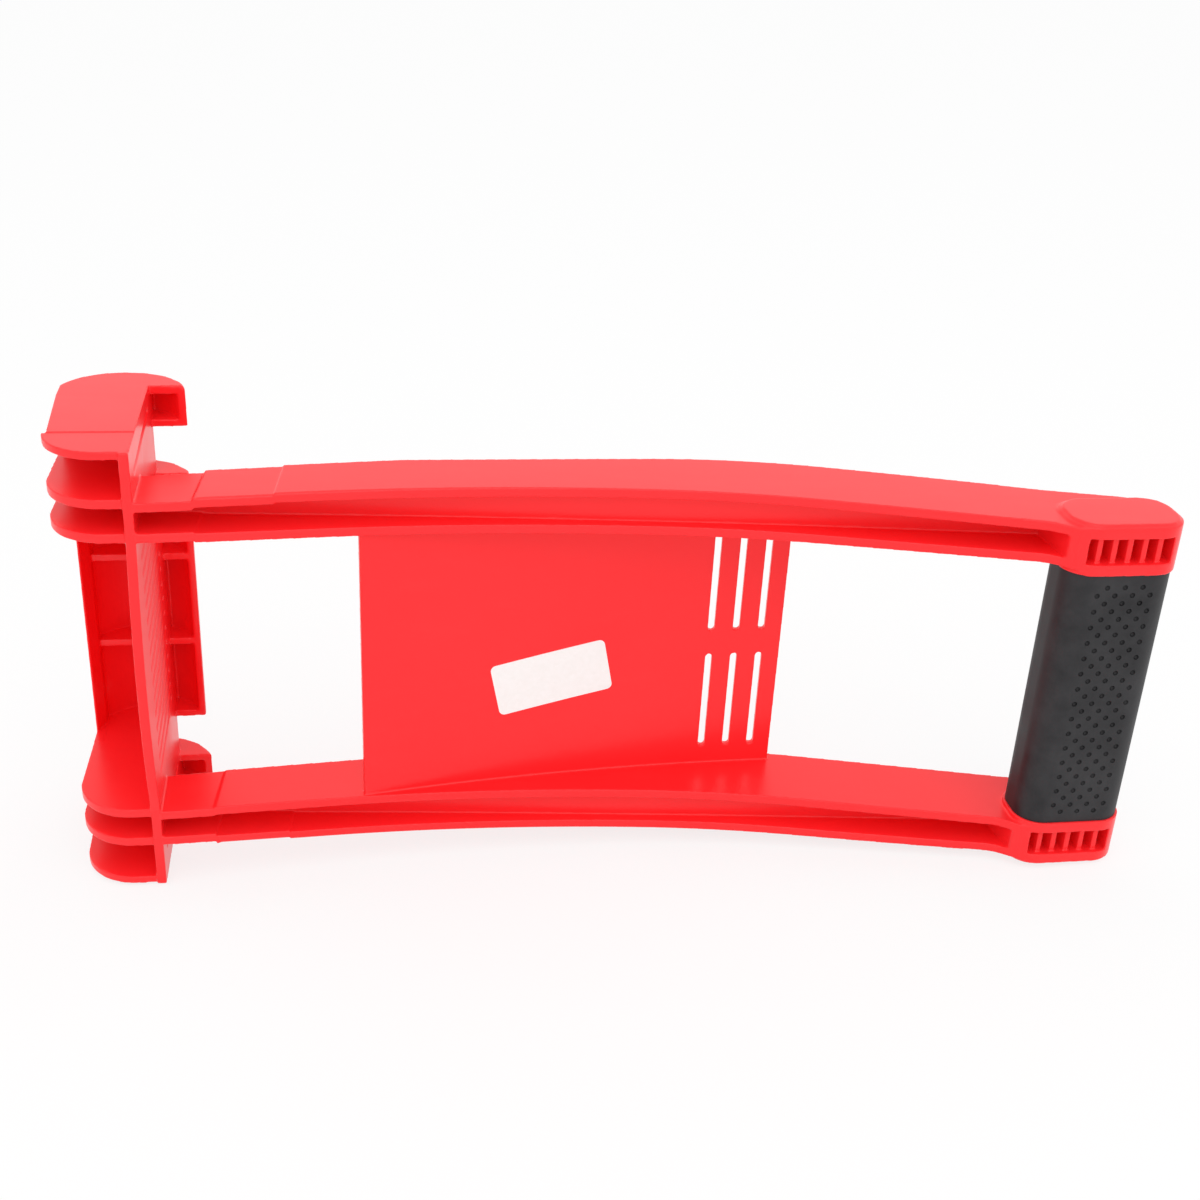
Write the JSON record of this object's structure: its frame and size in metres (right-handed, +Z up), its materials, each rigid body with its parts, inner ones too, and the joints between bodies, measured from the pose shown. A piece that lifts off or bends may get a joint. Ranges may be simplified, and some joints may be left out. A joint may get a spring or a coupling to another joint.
{
  "type": "panel carrier",
  "caption": "Hand carrier for boards: a grooved hook seat joined by bowed arms and a slotted panel to a rubber-covered handle.",
  "frame": {"origin": "middle of the bounding box in X and Y, on the surface the carrier stands on", "axes": "+X from the hook head to the handle, +Y from the front to the back of the hook, +Z up across the width"},
  "size_m": [0.3748, 0.0795, 0.1626],
  "materials": {
    "red_plastic": "satin moulded",
    "black_rubber": "matte"
  },
  "bodies": {
    "root": {"upper_outer_flange": "red_plastic", "upper_inner_flange": "red_plastic", "upper_web": "red_plastic", "lower_outer_flange": "red_plastic", "lower_inner_flange": "red_plastic", "lower_web": "red_plastic", "slotted_panel": "red_plastic", "seat_wall": "red_plastic", "hook_shell": "red_plastic", "upper_lip": "red_plastic", "middle_lip": "red_plastic", "lower_lip": "red_plastic", "tray_ribs": "red_plastic", "upper_end_fin": "red_plastic", "lower_end_fin": "red_plastic", "upper_fins": "red_plastic", "lower_fins": "red_plastic", "upper_boss": "red_plastic", "lower_boss": "red_plastic", "handle_bar": "red_plastic", "grip": "black_rubber"}
  },
  "joints": []
}
